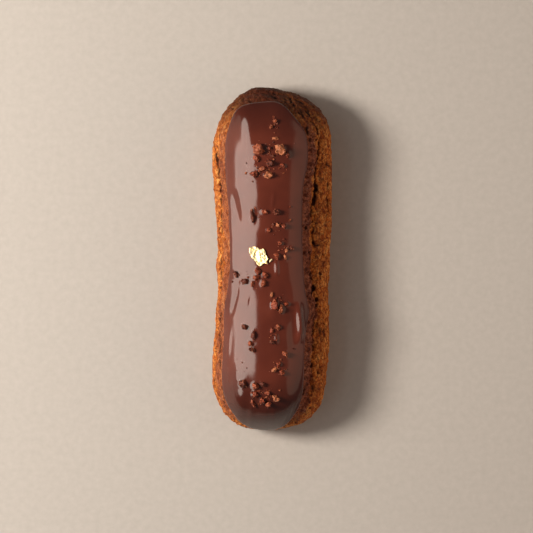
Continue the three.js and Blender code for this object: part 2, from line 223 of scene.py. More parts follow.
# %% An even net over the pastry
crust = copy_of_node("choux_pastry", "choux_crust")
add_modifier(crust, "SUBSURF", levels=2, render_levels=2)
add_modifier(crust, "REMESH", mode="VOXEL", voxel_size=0.5 * MM, use_smooth_shade=True)
add_modifier(crust, "SMOOTH", factor=0.5, iterations=6)
apply_modifiers(crust)
LET_OUT = 0.35  # subdivision draws the shape in by about this much
points = points_of(crust)
move_points(crust, points + LET_OUT * smoothstep(0.3, 4.0, points[:, 2])[:, None] * normals_of(crust))
report(crust)

# %% Swellings and wrinkles
# The flat underside stays flat, so the sculpting fades out towards the table.
SCULPT_FROM_Z = 0.8
SCULPT_FULL_Z = 5.0


def sculpt_weights(piece):
    group = piece.vertex_groups.new(name="baked")
    weights = smoothstep(SCULPT_FROM_Z, SCULPT_FULL_Z, points_of(piece)[:, 2])
    for index, weight in enumerate(weights):
        group.add([index], float(weight), "REPLACE")
    return group.name


def displace(piece, group, kind, size_mm, strength_mm, **settings):
    texture = bpy.data.textures.new(f"{kind.lower()}_{size_mm}mm", kind)
    for key, value in {"noise_scale": size_mm * MM, **settings}.items():
        setattr(texture, key, value)
    add_modifier(piece, "DISPLACE", texture=texture, texture_coords="LOCAL", mid_level=0.5,
                 strength=strength_mm * MM, vertex_group=group)


baked = sculpt_weights(crust)
displace(crust, baked, "CLOUDS", 10, 1.3, noise_depth=1)
displace(crust, baked, "CLOUDS", 3.2, 0.9, noise_depth=2)
displace(crust, baked, "CLOUDS", 1.3, 0.7, noise_depth=1)
displace(crust, baked, "STUCCI", 1.6, 0.4, turbulence=4)
apply_modifiers(crust)
report(crust)

# %% Tears and burst bubbles
# Tears are lines of (x, y) places in millimetres, seen from above, with a half width and a depth.
# The long ones run down each side where the skirt pushed out. The others are short cracks.
TEARS = [
    ([(18.6, 46), (18.1, 40), (17.3, 35)], 0.45, 1.1),
    ([(17.3, 36), (16.9, 29), (16.6, 24), (15.8, 21), (15.3, 17)], 0.62, 1.9),
    ([(15.4, 18), (16.1, 12), (15.6, 8)], 0.35, 0.7),
    ([(15.7, 8.2), (16.6, 5.3), (18.6, 5.5)], 0.4, 1.0),
    ([(15.0, 3), (14.9, -4)], 0.35, 0.6),
    ([(15.2, -5.5), (15.1, -8)], 0.45, 0.9),
    ([(16.2, -10.2), (15.6, -14.2)], 0.5, 1.3),
    ([(17.2, -18), (16.4, -24), (15.8, -30)], 0.35, 0.8),
    ([(15.8, -31), (16.1, -36)], 0.35, 0.8),
    ([(15.6, -38.4), (15.3, -42.4)], 0.45, 1.2),
    ([(14.8, -43.5), (13.5, -48)], 0.35, 0.6),
    ([(13.1, -49), (12.3, -53)], 0.4, 0.8),
    ([(9.5, 62.5), (12.3, 61), (14.6, 57), (16.2, 53.5), (17.6, 51), (18.6, 46)], 0.4, 0.9),
    ([(13.6, 51.5), (13.9, 48)], 0.4, 0.9),
    ([(21.7, 25), (21.9, 18.5)], 0.35, 0.8),
    ([(20.4, -27), (20.5, -31.6)], 0.35, 0.7),
    ([(19.4, 40), (19.9, 36.5)], 0.3, 0.5),
    ([(18.8, -4), (19.1, -8)], 0.3, 0.5),
    ([(-22.4, 43), (-21.5, 38), (-20.6, 33), (-19.9, 24)], 0.45, 1.0),
    ([(-19.9, 24), (-20.0, 17), (-19.7, 9)], 0.45, 0.9),
    ([(23.0, 36.2), (21.5, 37.4)], 0.6, 1.2),
    ([(-19.8, 3), (-20.2, -4), (-19.6, -9)], 0.4, 0.7),
    ([(-20.1, -19), (-20.4, -27), (-20.6, -35), (-20.4, -43)], 0.4, 0.7),
    ([(-18.6, -53.7), (-19, -56.4)], 0.4, 0.9),
    ([(-0.6, 64.3), (1.4, 63)], 0.5, 1.1),
    ([(7.2, 63.2), (7.7, 61.2)], 0.4, 1.0),
    ([(-9.5, 65), (-4.0, 66), (-1.5, 65.4)], 0.35, 0.6),
    ([(10.5, 57.5), (12.4, 55.5)], 0.4, 0.8),
]
# Burst bubbles: x, y, radius and depth in millimetres.
BUBBLES = [
    (13.5, 12.2, 0.7, 0.9), (17.1, 13.7, 0.5, 0.7), (14.5, 2.7, 0.5, 0.9), (17.4, -15.8, 0.8, 1.0),
    (16.8, -19.2, 0.5, 0.7), (15.7, -28, 0.5, 0.9), (15.7, -32.8, 0.5, 0.9), (16.1, -35.7, 0.5, 0.8),
    (14.9, -58.4, 0.5, 0.7), (14.9, 46.3, 0.7, 0.8), (-15.3, 58.9, 0.5, 0.7), (-20.3, -11.2, 0.6, 0.6),
    (17.4, 46.5, 0.5, 0.8), (18.9, 33.4, 0.4, 0.5), (19.6, 2.0, 0.4, 0.5), (18.2, -44.5, 0.4, 0.5),
    (8.6, 60.4, 0.6, 0.9), (5.2, 62.6, 0.6, 0.8), (13.4, 58.0, 0.5, 0.7), (16.0, 47.6, 0.5, 0.7),
]
print(len(TEARS), "tears and", len(BUBBLES), "large bubbles")


# %% Finding places on a piece, and digging there
DROPPED_FROM = 60


def drop_onto(target, x, y):
    found, place, normal, _ = target.ray_cast(Vector((x, y, DROPPED_FROM)) * MM, Vector((0, 0, -1)))
    return (np.array(place) / MM, np.array(normal)) if found else (None, None)


def along_line(line, step):
    for start, end in zip(np.array(line[:-1]), np.array(line[1:])):
        count = max(1, round(np.linalg.norm(end - start) / step))
        for index in range(count):
            yield start + (end - start) * index / count


def net_of(points):
    tree = KDTree(len(points))
    for index, point in enumerate(points):
        tree.insert(point, index)
    tree.balance()
    return tree


def dig(depth, tree, place, radius, deepest, power=2):
    for _, near, distance in tree.find_range(Vector(place), radius * 1.8):
        depth[near] = max(depth[near], deepest * math.exp(-((distance / radius) ** power)))


# %% Tearing the crust
TEAR_STEP = 0.25
RAGGEDNESS = 0.3


def tear_depths(piece):
    points = points_of(piece)
    tree = net_of(points)
    depth = np.zeros(len(points))
    for line, half_width, deepest in TEARS:
        for x, y in along_line(line, TEAR_STEP):
            # The tear wanders, opens and closes along its length.
            wander = RAGGEDNESS * (math.sin(1.9 * y + 0.7 * x) + 0.6 * math.sin(4.7 * y))
            opening = 0.85 + 0.22 * math.sin(1.1 * y + 2.0) + 0.15 * math.sin(3.1 * y)
            place, _ = drop_onto(piece, x + wander * 0.6, y)
            if place is not None:
                dig(depth, tree, place, half_width * opening, deepest * opening)
    for x, y, radius, deepest in BUBBLES:
        place, _ = drop_onto(piece, x, y)
        dig(depth, tree, place, radius, deepest, power=3)
    return depth


bpy.context.view_layer.update()
torn = tear_depths(crust)
move_points(crust, points_of(crust) - normals_of(crust) * torn[:, None])
print("deepest tear:", round(torn.max(), 2), "mm over", int((torn > 0.3).sum()), "points")

# %% A fine scatter of burst bubbles
# Small bubbles burst wherever the crust swelled most, which is low on the sides and over the ends.
PORE_COUNT = 700
random = np.random.default_rng(7)


def scatter_pores(piece, count):
    spots = points_of(piece)
    facing = normals_of(piece)
    open_crust = np.flatnonzero(spots[:, 2] > 4.0)
    depth = np.zeros(len(spots))
    tree = net_of(spots)
    for index in random.choice(open_crust, count, replace=False):
        radius = random.uniform(0.35, 0.9)
        deepest = radius * random.uniform(0.35, 0.8)
        stretch = random.uniform(1.0, 2.2)
        centre = spots[index]
        for _, near, _ in tree.find_range(Vector(centre), radius * stretch * 1.6):
            offset = spots[near] - centre
            offset[1] /= stretch
            across = np.linalg.norm(offset) / radius
            depth[near] = max(depth[near], deepest * math.exp(-(across**3)))
    move_points(piece, spots - facing * depth[:, None])
    return depth


pores = scatter_pores(crust, PORE_COUNT)
print("deepest small bubble:", round(pores.max(), 2), "mm")

# %% Keeping inside the plain model's box
BOX_MARGIN = 0.01


def keep_inside_box(piece):
    low, high = (np.array(corner) / MM for corner in cad_box)
    move_points(piece, np.clip(points_of(piece), low + BOX_MARGIN, high - BOX_MARGIN))


keep_inside_box(crust)
report(crust)

# %% [markdown]
# ### Where the glaze has run onto the crust
#
# A dipped eclair keeps a thin film of glaze beside the thick edge. It stains the crust darker and
# makes it shine. The film fades with distance from the glaze, so that distance is measured once
# and stored on the points, together with the depth of the tears, where shade is painted darkest.


# %% Film and tears as attributes
def store_attribute(piece, name, values):
    attribute = piece.data.attributes.new(name, "FLOAT", "POINT")
    attribute.data.foreach_set("value", values.astype(np.float32))


# The film runs down a steep side further than along a level one, so heights count for little.
HEIGHTS_COUNT = 0.22


def distance_beside(points, node):
    flatten = np.array((1.0, 1.0, HEIGHTS_COUNT))
    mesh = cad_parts[node].data
    skin = BVHTree.FromPolygons([Vector(np.array(vertex.co) * flatten) for vertex in mesh.vertices],
                                [tuple(polygon.vertices) for polygon in mesh.polygons])
    return np.array([skin.find_nearest(Vector(point * flatten) * MM)[3] for point in points]) / MM


points = points_of(crust)
beside_glaze = distance_beside(points, "chocolate_glaze")
# Its edge wavers. It is thin at the far end, where the pastry was dipped least, and on the left.
left = 1 - smoothstep(-12.0, -8.0, points[:, 0])
edge = 3.3 - 0.5 * left + 0.4 * np.sin(points[:, 1] / 1.9) + 0.3 * np.sin(points[:, 1] / 0.8 + points[:, 0])
film = (1.0 - smoothstep(-0.5, 0.5, beside_glaze - edge)) * (1.0 - smoothstep(44, 56, points[:, 1]))
film *= smoothstep(12.0, 17.0, points[:, 2]) * (1 - 0.45 * left)
store_attribute(crust, "glaze_film", film)
# The far end is painted darker, partly browning and partly painted shade, fading down the side
# and in patches. The base is browner where it lay on its tray.
patchy = 0.8 * np.sin(points[:, 0] / 2.3 + 1.3 * np.sin(points[:, 2] / 1.7))
patchy += 0.6 * np.sin(points[:, 0] / 0.9)
far_end = smoothstep(43, 62, points[:, 1]) * smoothstep(-2.0, 13.0, points[:, 2] + patchy)
far_end *= 1 - 0.14 * smoothstep(5.0, 12.0, np.abs(points[:, 0] + 4))
store_attribute(crust, "browned_and_shaded", far_end + 0.5 * (1 - smoothstep(0.5, 4.0, points[:, 2])))
# Painted shade: the deeper a tear or pit, the darker the crust is painted there.
store_attribute(crust, "torn", np.clip(torn / 0.75 + pores * (1 - 0.8 * film) / 0.9, 0, 1))
shade_smooth(crust)
print("points under the film:", int((film > 0.5).sum()))

# %% [markdown]
# ### Baked choux
#
# The crust browns unevenly. Thin raised skin goes deep brown, folds stay golden, and pits and
# tears are painted dark, as painted shade, since little light gets out of them. The skin has
# grains about 1.5 mm across, drawn out along the eclair, with painted shade in the lines between
# them. It is dry, so it is rough, with a faint shine of egg and butter. One end is painted far
# darker than the rest, partly browning and partly painted shade.
#
# The film of glaze lies over all of that. It has streaks of dark and pink brown, the pink partly
# painted sheen. It is wet enough to shine, and the skin under it is drawn into fine slanting wrinkles.


# %% The grains of the crust
def crust_grains(tree, place):
    wobble = add_node(tree, "TexNoise", {"Vector": place, "Scale": scale_of(1.4), "Detail": 3.0,
                                         "Roughness": 0.55})["Color"]
    warped = add_node(tree, "VectorMath", {0: wobble, 1: (1.5 * MM,) * 3, 2: place},
                      operation="MULTIPLY_ADD")["Vector"]
    drawn_out = add_node(tree, "Mapping", {"Vector": warped, "Scale": (1.0, 0.55, 1.0)})["Vector"]
    return add_node(tree, "TexVoronoi", {"Vector": drawn_out, "Scale": scale_of(1.5)},
                    feature="DISTANCE_TO_EDGE")["Distance"]


# %% The colours of the crust
def crust_colour(tree, place, grains, fine, film):
    patches = add_node(tree, "TexNoise", {"Vector": place, "Scale": scale_of(9.0), "Detail": 3.0,
                                          "Roughness": 0.55})["Fac"]
    mottle = add_node(tree, "TexNoise", {"Vector": place, "Scale": scale_of(1.9), "Detail": 6.0,
                                         "Roughness": 0.7, "Distortion": 0.8})["Fac"]
    golden = add_node(tree, "ValToRGB", {"Fac": mottle},
                      stops=[(0.34, "#953f0f"), (0.48, "#c97028"), (0.64, "#eeaa5e")])["Color"]
    deep = add_node(tree, "ValToRGB", {"Fac": mottle}, stops=[(0.34, "#6a2c0a"), (0.66, "#bf6420")])["Color"]
    patchy = add_node(tree, "ValToRGB", {"Fac": patches}, stops=[(0.42, 0.0), (0.62, 0.7)])["Color"]
    # Painted shade in the grooves between the grains, broken up in places.
    between = add_node(tree, "ValToRGB", {"Fac": grains}, stops=[(0.02, 1.0), (0.2, 0.0)])["Color"]
    broken = add_node(tree, "ValToRGB", {"Fac": fine}, stops=[(0.42, 0.0), (0.58, 0.9)])["Color"]
    lines = add_node(tree, "Mix", {"Factor": 1.0, FIRST: between, SECOND: broken},
                     data_type="RGBA", blend_type="MULTIPLY")[MIXED]
    # Painted shade over the far end, laid over real browning there and at the base.
    browned_and_shaded = add_node(tree, "Attribute", {}, attribute_name="browned_and_shaded")["Fac"]
    burnt_and_shaded = add_node(tree, "ValToRGB", {"Fac": browned_and_shaded}, stops=[(0.0, 0.0), (1.0, 0.95)])["Color"]
    # The film has streaks of dark brown and pink brown. The pink streaks are partly a painted sheen.
    streaks = add_node(tree, "ValToRGB", {"Fac": mottle}, stops=[(0.4, 0.0), (0.6, 1.0)])["Color"]
    film_streaks_and_sheen = add_node(tree, "Mix", {"Factor": streaks, FIRST: "#5e281b", SECOND: "#b26a53"},
                        data_type="RGBA")[MIXED]
    covered = add_node(tree, "ValToRGB", {"Fac": film}, stops=[(0.0, 0.0), (1.0, 0.9)])["Color"]
    # Painted shade in the tears and pits, where little light gets out.
    pit_shade = add_node(tree, "Attribute", {}, attribute_name="torn")["Fac"]
    shaded = add_node(tree, "ValToRGB", {"Fac": pit_shade}, stops=[(0.12, 0.0), (0.7, 0.88)])["Color"]
    # Each layer goes over the ones before it.
    colour = golden
    for amount, layer in ((patchy, deep), (lines, "#491705"), (burnt_and_shaded, "#3a1103"),
                          (covered, film_streaks_and_sheen), (shaded, "#2a0c03")):
        colour = add_node(tree, "Mix", {"Factor": amount, FIRST: colour, SECOND: layer},
                          data_type="RGBA")[MIXED]
    return colour


# %% The relief of the crust
def crust_relief(tree, place, grains, fine, film):
    wrinkles = add_node(tree, "TexWave", {"Vector": place, "Scale": 0.16 / MM, "Distortion": 3.0,
                                          "Detail": 2.0, "Detail Scale": 0.8 / MM},
                        bands_direction="DIAGONAL")["Fac"]
    wrinkled = add_node(tree, "Mix", {"Factor": 1.0, FIRST: wrinkles, SECOND: film},
                        data_type="RGBA", blend_type="MULTIPLY")[MIXED]
    raised = add_node(tree, "ValToRGB", {"Fac": grains}, stops=[(0.0, 0.0), (0.25, 1.0)])["Color"]
    half_film = add_node(tree, "ValToRGB", {"Fac": film}, stops=[(0.0, 0.0), (1.0, 0.6)])["Color"]
    rough = add_node(tree, "Mix", {"Factor": half_film, FIRST: fine, SECOND: "#808080"},
                     data_type="RGBA")[MIXED]
    skin = add_node(tree, "Bump", {"Height": raised, "Distance": 0.3 * MM, "Strength": 0.6})["Normal"]
    skin = add_node(tree, "Bump", {"Height": wrinkled, "Distance": 0.25 * MM, "Strength": 0.9,
                                   "Normal": skin})["Normal"]
    return add_node(tree, "Bump", {"Height": rough, "Distance": 0.7 * MM, "Strength": 0.8,
                                   "Normal": skin})["Normal"]


# %% The baked choux finish
def baked_choux():
    material, tree, shader, place = new_material("baked_choux")
    grains = crust_grains(tree, place)
    fine = add_node(tree, "TexNoise", {"Vector": place, "Scale": scale_of(0.8), "Detail": 5.0,
                                       "Roughness": 0.7, "Distortion": 0.5})["Fac"]
    film = add_node(tree, "Attribute", {}, attribute_name="glaze_film")["Fac"]
    shine = add_node(tree, "MapRange", {"Value": film, "To Min": 0.68, "To Max": 0.24})["Result"]
    tree.links.new(crust_colour(tree, place, grains, fine, film), shader.inputs["Base Color"])
    tree.links.new(crust_relief(tree, place, grains, fine, film), shader.inputs["Normal"])
    tree.links.new(shine, shader.inputs["Roughness"])
    shader.inputs["Specular IOR Level"].default_value = 0.18
    return material


crust.data.materials.append(baked_choux())
print("nodes in the finish of the crust:", len(crust.data.materials[0].node_tree.nodes))
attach(crust, "root")
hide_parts("choux_pastry")

# %% [markdown]
# ## The chocolate glaze
#
# A glaze of chocolate, cream and syrup flows while it is warm and levels itself, so it is the
# smoothest surface on the eclair. What the eye reads is the reflection in it, and the reflection
# shows every slow ripple: runs along its length where it drained, and small rises round each nib.
#
# A voxel net would show as dimples in such a mirror. So the glaze is refined by subdivision alone,
# which gives a curved surface with no seams, and the ripples are smooth swells added to it.

# %% Where the nibs sit
nib_nodes = sorted(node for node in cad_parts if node.startswith("cocoa_nib_"))


def footprint(node):
    low, high = (np.array(corner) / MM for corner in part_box(node))
    return (low + high) / 2, (high - low) / 2


nib_places = [footprint(node) for node in nib_nodes]
print(len(nib_places), "nibs")

# %% Where the glaze ran
# Runs and hollows in the glaze, as places (x, y) along them, half width and rise in millimetres.
RUNS = [
    ([(-15.6, 28), (-14.2, 20), (-12.4, 11)], 1.6, -0.55),
    ([(-16.0, 20), (-15.8, 8)], 1.2, 0.25),
    ([(-15.9, 10), (-15.6, -6)], 1.8, 0.2),
    ([(-13.1, -7), (-13.9, -14), (-16.2, -23)], 0.9, -0.3),
    ([(-16.4, -25), (-17.0, -33), (-17.5, -42)], 0.8, 0.22),
    ([(-17.0, -42), (-16.8, -51)], 0.7, 0.16),
    ([(-8.2, -13.5), (-9.4, -20)], 0.5, -0.16),
    ([(-12.8, -40), (-12.8, -61)], 3.4, 1.05),
    ([(-5.6, 31), (-5.2, 22)], 2.6, 0.14),
    ([(-7.0, 20), (-7.4, 10)], 2.6, -0.14),
    ([(-11.6, 60), (-10.2, 50), (-8.6, 42), (-6.8, 32)], 3.0, 0.6),
    ([(1.6, 0), (1.9, -7)], 0.8, 0.5),
    ([(1.5, -28), (1.8, -34)], 0.8, 0.4),
    ([(0.8, 27), (-0.2, 18)], 0.8, 0.2),
    ([(10.6, -16.0), (10.4, -22), (10.9, -28), (10.6, -33.5)], 1.2, 1.65),
    ([(7.6, -24), (8.2, -36)], 1.5, -0.25),
    ([(1.2, -14), (0.8, -24)], 2.6, 0.45),
    ([(5.5, -8), (6.5, -22)], 1.6, -0.14),
]
print(len(RUNS), "runs and hollows")


# %% The height of the ripples
def beside_line(points, line):
    """The distance of each point from a line, and how far along the line it is, from 0 to 1."""
    corners = np.array(line, dtype=float)
    lengths = np.linalg.norm(np.diff(corners, axis=0), axis=1)
    nearest = np.full(len(points), np.inf)
    way = np.zeros(len(points))
    for index, length in enumerate(lengths):
        along = (corners[index + 1] - corners[index]) / length
        travelled = np.clip((points - corners[index]) @ along, 0.0, length)
        distance = np.linalg.norm(points - corners[index] - travelled[:, None] * along, axis=1)
        way = np.where(distance < nearest, (lengths[:index].sum() + travelled) / lengths.sum(), way)
        nearest = np.minimum(nearest, distance)
    return nearest, way


def ripple_heights(points):
    x, y = points[:, 0], points[:, 1]
    height = np.zeros(len(points))
    for line, half_width, rise in RUNS:
        distance, way = beside_line(points[:, :2], line)
        height += rise * np.exp(-((distance / half_width) ** 2)) * np.sin(math.pi * way)
    # Slow waves along the whole glaze, and flutes where it drained over the near end.
    height += 0.05 * np.sin(y / 5.3 + 0.9 * np.sin(x / 4.0)) * np.cos(x / 3.7 + 0.6 * np.sin(y / 9.0))
    drained = smoothstep(52.0, 62.0, -y)
    return height + 0.07 * drained * np.sin(x * 1.35 + 0.8 * np.sin(x * 0.7))


# %% The small rise of the glaze round each nib
MENISCUS_RISE = 0.16
MENISCUS_REACH = 0.8


def meniscus_heights(points):
    height = np.zeros(len(points))
    for centre, half in nib_places:
        reach = np.maximum(half[:2], 0.5)
        beyond = np.linalg.norm((points[:, :2] - centre[:2]) / reach, axis=1) - 0.75
        rise = MENISCUS_RISE * np.exp(-((np.maximum(beyond, 0) * reach.min() / MENISCUS_REACH) ** 2) * 2.0)
        height = np.maximum(height, rise)
    return height


# %% Refining the glaze, and pressing it onto the crust
glaze = copy_of_node("chocolate_glaze", "dark_glaze")
add_modifier(glaze, "SUBSURF", levels=3, render_levels=3)
apply_modifiers(glaze)


def skin_of(piece):
    return BVHTree.FromPolygons([vertex.co for vertex in piece.data.vertices],
                                [tuple(polygon.vertices) for polygon in piece.data.polygons])


# The underside of the glaze is pressed onto the crust. Its outer face only takes the ripples.
PRESS = 0.75
LIP_CLEARANCE = 1.0  # what is further than this from the crust isn't pressed

points = points_of(glaze)
facing = normals_of(glaze)
crust_skin = skin_of(crust)
nearest = [crust_skin.find_nearest(Vector(point) * MM) for point in points]
clearance = np.array([found[3] for found in nearest]) / MM
towards_crust = np.array([found[0] for found in nearest]) / MM - points
towards_crust /= np.maximum(clearance, 1e-6)[:, None]
inner = smoothstep(-0.2, 0.4, (facing * towards_crust).sum(axis=1))
outer = 1 - np.maximum(inner, 1 - smoothstep(0.4, LIP_CLEARANCE, clearance))
swell = outer * (ripple_heights(points) + meniscus_heights(points))
points += facing * swell[:, None] + towards_crust * (PRESS * (1 - outer))[:, None]
move_points(glaze, points)
keep_inside_box(glaze)
shade_smooth(glaze)
report(glaze)

# %% [markdown]
# ### Set chocolate glaze
#
# The cocoa and fat scatter light just under the skin, and the syrup gives a clear, hard shine.
# Its index of refraction is near that of sugar syrup, 1.5. The colour drifts a little where the
# glaze is thinner, and the shine is not quite perfect: a faint haze a few millimetres across.


# %% The set glaze finish
def set_glaze():
    material, tree, shader, place = new_material("set_chocolate_glaze")
    drift = add_node(tree, "TexNoise", {"Vector": place, "Scale": scale_of(14.0), "Detail": 2.0,
                                        "Roughness": 0.55})["Fac"]
    thin = add_node(tree, "ValToRGB", {"Fac": drift}, stops=[(0.35, "#522318"), (0.65, "#5f2b1e")])["Color"]
    # Painted shade: both ends of the glaze are darkened.
    painted_end_shade = add_node(tree, "Attribute", {}, attribute_name="painted_end_shade")["Fac"]
    colour = add_node(tree, "Mix", {"Factor": painted_end_shade, FIRST: thin, SECOND: "#2f0f08"}, data_type="RGBA")
    haze = add_node(tree, "TexNoise", {"Vector": place, "Scale": scale_of(3.0), "Detail": 3.0,
                                       "Roughness": 0.55})["Fac"]
    blur = add_node(tree, "MapRange", {"Value": haze, "To Min": 0.09, "To Max": 0.17})
    orange_peel = add_node(tree, "TexNoise", {"Vector": place, "Scale": scale_of(4.0), "Detail": 1.0,
                                              "Roughness": 0.55})["Fac"]
    skin = add_node(tree, "Bump", {"Height": orange_peel, "Distance": 0.05 * MM, "Strength": 0.5})
    tree.links.new(colour[MIXED], shader.inputs["Base Color"])
    tree.links.new(blur["Result"], shader.inputs["Roughness"])
    tree.links.new(skin["Normal"], shader.inputs["Normal"])
    shader.inputs["IOR"].default_value = 1.5
    return material


# Both ends are painted darker: painted shade where the glaze turns away from the lamps.
store_attribute(glaze, "painted_end_shade", 0.75 * smoothstep(40, 64, np.abs(points[:, 1])))
glaze.data.materials.append(set_glaze())
print("nodes in the finish of the glaze:", len(glaze.data.materials[0].node_tree.nodes))
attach(glaze, "root")
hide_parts("chocolate_glaze")

# %% [markdown]
# ## The cocoa nibs
#
# Nibs are roasted cocoa beans broken into bits. A bean breaks along its natural folds, so a nib
# has curved faces, sharp ridges and fine grooves. Each is a few millimetres long.
#
# Each plain nib already has its own broken shape. A bevel gives its edges the slight wear that
# catches light, subdivision gives it points to move, and two Displace modifiers break its faces.

# %% Breaking a nib
WORN_EDGE = 0.05  # of the nib's size
# How its faces break: the kind of texture, its size and its depth, both as shares of the nib's size.
BREAKS = (("VORONOI", 0.42, 0.34), ("CLOUDS", 0.2, 0.16))
FINEST_BREAK = 0.45


def break_nib(piece, size_mm):
    add_modifier(piece, "BEVEL", width=WORN_EDGE * size_mm * MM, segments=1, limit_method="ANGLE")
    add_modifier(piece, "SUBSURF", subdivision_type="SIMPLE", levels=2, render_levels=2)
    for kind, scale, strength in BREAKS:
        texture = bpy.data.textures.new(f"nib_{kind.lower()}", kind)
        texture.noise_scale = max(FINEST_BREAK, scale * size_mm) * MM
        add_modifier(piece, "DISPLACE", texture=texture, texture_coords="LOCAL", mid_level=0.5,
                     strength=strength * size_mm * MM)
    apply_modifiers(piece)


# %% Settling a nib into the glaze
NIB_SINK = 0.4
CROWN_X = -2.5
CROWN_HALF_LENGTH = 42
CROWN_AXIS_Z = 10.0


def fit_to(points, centre, half):
    low, high = points.min(axis=0), points.max(axis=0)
    return centre + (points - (low + high) / 2) * 2 * half / (high - low)


def away_from_crown(place):
    away = place - (CROWN_X, np.clip(place[1], -CROWN_HALF_LENGTH, CROWN_HALF_LENGTH), CROWN_AXIS_Z)
    return away / np.linalg.norm(away)


# %% How pale each nib is roasted
# From 0 to 1. Most are middling, and these are darker or paler.
DARK_NIBS = {8, 10, 15, 17, 23, 30, 31, 37, 40, 42, 43, 48, 50}
PALE_NIBS = {3, 5, 13, 19, 22, 24, 33, 46, 53}
DULL_NIB = 34  # large, and duller than the pale ones
DARK_ROAST, DULL_ROAST, PALE_ROAST = 0.12, 0.4, 0.85
MIDDLING_ROASTS = (0.35, 0.6)


def roast_of(number):
    if number == DULL_NIB:
        return DULL_ROAST
    if number in DARK_NIBS:
        return DARK_ROAST
    return PALE_ROAST if number in PALE_NIBS else random.uniform(*MIDDLING_ROASTS)


def store_roast(piece, roast):
    store_attribute(piece, "roast", np.full(len(piece.data.vertices), roast))


# %% Every nib
FULLER = 1.04  # broken faces leave a nib thinner than the plain one, so it is made a little larger
SHARP_RIDGE = math.radians(22)

nibs = []
for (centre, half), node in zip(nib_places, nib_nodes):
    nib = copy_of_node(node, node.replace("cocoa_nib", "broken_nib"))
    break_nib(nib, 2 * math.sqrt(half[0] * half[1]))
    broken = fit_to(points_of(nib), centre, half * FULLER)
    move_points(nib, broken - NIB_SINK * away_from_crown(centre))
    select_only(nib)
    bpy.ops.object.shade_smooth_by_angle(angle=SHARP_RIDGE)
    store_roast(nib, roast_of(int(node[-2:])))
    nibs.append(nib)
print("nib faces in all:", sum(len(nib.data.polygons) for nib in nibs))

# %% [markdown]
# ### Crumbs and dust
#
# Whole nibs shed crumbs about a millimetre across and less, which lie thickest among the big ones.
# A crumb is too small to need more than a jagged twenty-sided shape. One is made, and copies of it
# are turned, sized and dropped straight down onto the glaze.

# %% Where the crumbs fell
# Each heap of crumbs: x, y, spread in millimetres, and how many.
HEAPS = [
    (0.9, 51.5, 2.0, 8), (-1.5, 40.5, 3.6, 34), (-3.6, 34.2, 2.6, 26), (3.2, 35, 3.0, 8),
    (-4.5, 17.5, 2.4, 7), (1.5, 12.5, 2.6, 8), (4.6, 4.6, 2.0, 8), (-4.6, -6.5, 1.6, 10),
    (-10.5, -8, 3.2, 8), (2.6, -17, 2.4, 12), (0.8, -29, 2.2, 8), (-8, -31.5, 2.2, 6),
    (2.6, -42, 2.4, 20), (-3.4, -53.0, 3.8, 44), (-12, -42, 3.0, 4),
    # Some lie in twos and threes, away from the heaps.
    (8.6, 44.9, 0.3, 2), (-10.0, 37.5, 0.2, 2), (-10.4, 33.7, 0.3, 3), (-7.6, 30.3, 0.3, 2),
    (-6.8, 19.8, 0.3, 2), (6.8, 20.4, 0.3, 2), (7.0, 14.8, 0.5, 5), (0.1, 13.2, 0.2, 3),
    (4.4, 7.9, 0.2, 3), (-15.6, -8.9, 0.3, 2), (-6.2, -11.5, 0.3, 2), (8.2, -35.2, 0.4, 4),
    (-10.0, -42.3, 0.3, 3), (3.3, -39.0, 0.4, 3), (-8.1, -52.0, 0.4, 4), (2.8, -51.1, 0.3, 3),
    (0.7, 55.1, 0.5, 4), (0.7, 34.6, 0.3, 3),
]
print(sum(heap[3] for heap in HEAPS), "crumbs in", len(HEAPS), "heaps")


# %% One jagged crumb
CRUMB_RADIUS = 0.5
JAGGEDNESS = (0.55, 1.25)  # each corner's distance from the middle, as a share of the radius


def jagged_crumb():
    bpy.ops.object.select_all(action="DESELECT")
    bpy.ops.mesh.primitive_ico_sphere_add(subdivisions=1, radius=CRUMB_RADIUS * MM, location=(0, 0, 0))
    crumb = bpy.context.object
    shape = points_of(crumb)
    move_points(crumb, shape * random.uniform(*JAGGEDNESS, (len(shape), 1)))
    return crumb


# %% Dropping the crumbs
SMALLEST_CRUMB = 0.35
CRUMB_RANGE = 0.75  # how much larger the largest is. Most are small.
CRUMB_LIFT = 0.12

bpy.context.view_layer.update()
first_crumb = jagged_crumb()
crumbs = []
for heap_x, heap_y, spread, count in HEAPS:
    for _ in range(count):
        x, y = random.normal((heap_x, heap_y), spread * 0.6)
        size = SMALLEST_CRUMB + CRUMB_RANGE * random.random() ** 2
        stretch = Matrix.Diagonal((*(size * random.uniform(0.6, 1.3, 3)), 1.0))
        turn = Matrix.Rotation(random.uniform(0, 6.28), 4, Vector(random.normal(0, 1, 3)).normalized())
        place, normal = drop_onto(glaze, x, y)
        if place is None:
            place, normal = drop_onto(crust, x, y)
        crumb = first_crumb.copy()
        crumb.data = first_crumb.data.copy()
        crumb.data.transform(Matrix.Translation((place + CRUMB_LIFT * normal) * MM) @ turn @ stretch)
        store_roast(crumb, random.uniform(0.1, 0.7))
        bpy.context.scene.collection.objects.link(crumb)
        crumbs.append(crumb)
bpy.data.objects.remove(first_crumb)
select_only(crumbs[0])
for crumb in crumbs:
    crumb.select_set(True)
bpy.ops.object.join()
nib_crumbs = crumbs[0]
nib_crumbs.name = "nib_crumbs"
report(nib_crumbs)

# %% [markdown]
# ### Roasted cocoa
#
# Roasted cocoa is reddish brown, darker on its skin and paler where it is freshly broken. Its fat
# gives a soft gloss. Each bit carries how dark it was roasted as an attribute, so one finish
# serves them all, with flecks and grooves under a millimetre across over it.


